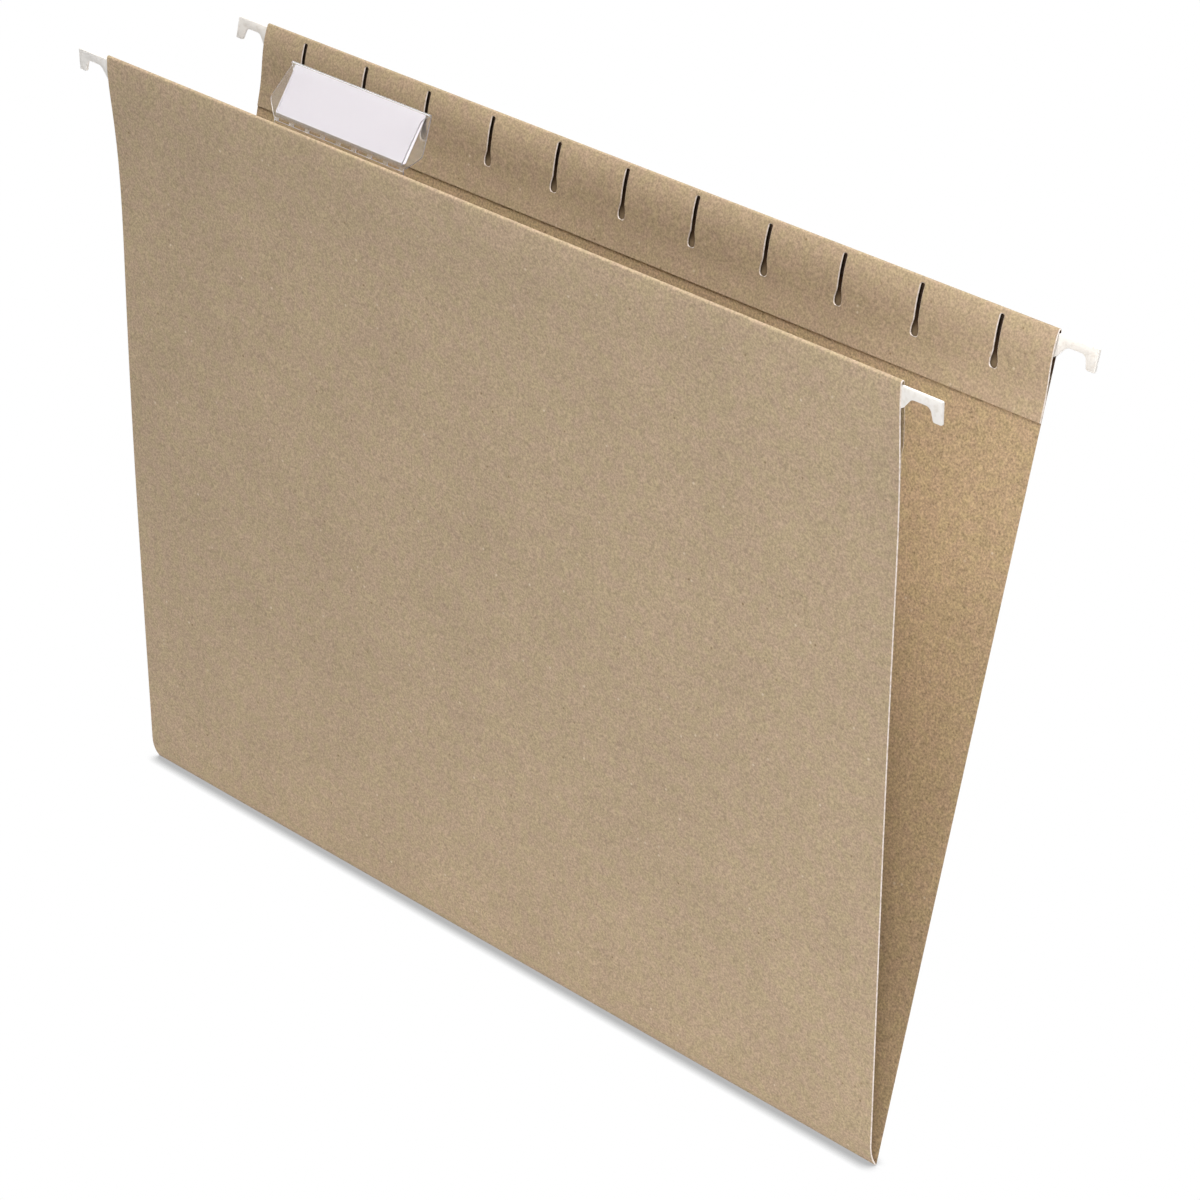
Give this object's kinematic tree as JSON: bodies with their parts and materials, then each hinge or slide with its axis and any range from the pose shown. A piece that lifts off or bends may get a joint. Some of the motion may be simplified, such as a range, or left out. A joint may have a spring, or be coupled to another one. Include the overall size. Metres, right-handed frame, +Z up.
{
  "type": "hanging file folder",
  "caption": "Hanging file folder of kraft board: an open V with rod-stiffened hems, hooks for file rails, keyhole tab slots and a clear index tab with a paper label.",
  "frame": {"origin": "middle of the four hook seats, where the rails carry the folder", "axes": "+X along the rods to the right hooks, +Y from the front side to the back side, +Z up"},
  "size_m": [0.324, 0.0622, 0.2485],
  "materials": {
    "kraft_board": "matte recycled kraft board with fine flecks",
    "glue": "dried glue line",
    "rod_steel": "plain rolled strip",
    "hook_coating": "smooth white dip coating",
    "clear_plastic": "clear glossy sheet",
    "label_paper": "plain white card"
  },
  "bodies": {
    "back_side": {"back_panel": "kraft_board", "back_top_fold": "kraft_board", "back_flap": "kraft_board", "back_glue": "glue", "back_rod": "rod_steel", "back_left_tip": "hook_coating", "back_right_tip": "hook_coating"},
    "back_strip": {"back_strip": "kraft_board"},
    "front_strip": {"front_strip": "kraft_board"},
    "front_side": {"front_panel": "kraft_board", "front_top_fold": "kraft_board", "front_flap": "kraft_board", "front_glue": "glue", "front_rod": "rod_steel", "front_left_tip": "hook_coating", "front_right_tip": "hook_coating", "tab_base": "clear_plastic"},
    "tab_window": {"tab_window": "clear_plastic"},
    "label": {"label_insert": "label_paper"}
  },
  "joints": [
    {"name": "back_score", "type": "hinge", "parent": "back_side", "child": "back_strip", "pos_m": [0, -0.00027, -0.22104], "axis": [1, 0, 0], "range_deg": [-14, 0]},
    {"name": "bottom_fold", "type": "hinge", "parent": "back_strip", "child": "front_strip", "pos_m": [0, -0.00137, -0.22896], "axis": [1, 0, 0], "range_deg": [0, 148]},
    {"name": "front_score", "type": "hinge", "parent": "front_strip", "child": "front_side", "pos_m": [0, -0.00463, -0.22165], "axis": [1, 0, 0], "range_deg": [0, 17]},
    {"name": "tab_tilt", "type": "hinge", "parent": "front_side", "child": "tab_window", "pos_m": [0, -0.02962, 0.00498], "axis": [1, 0, 0], "range_deg": [-20, 80]},
    {"name": "label_slide", "type": "slide", "parent": "tab_window", "child": "label", "axis": [1, 0, 0], "range_m": [0, 0.058]}
  ]
}
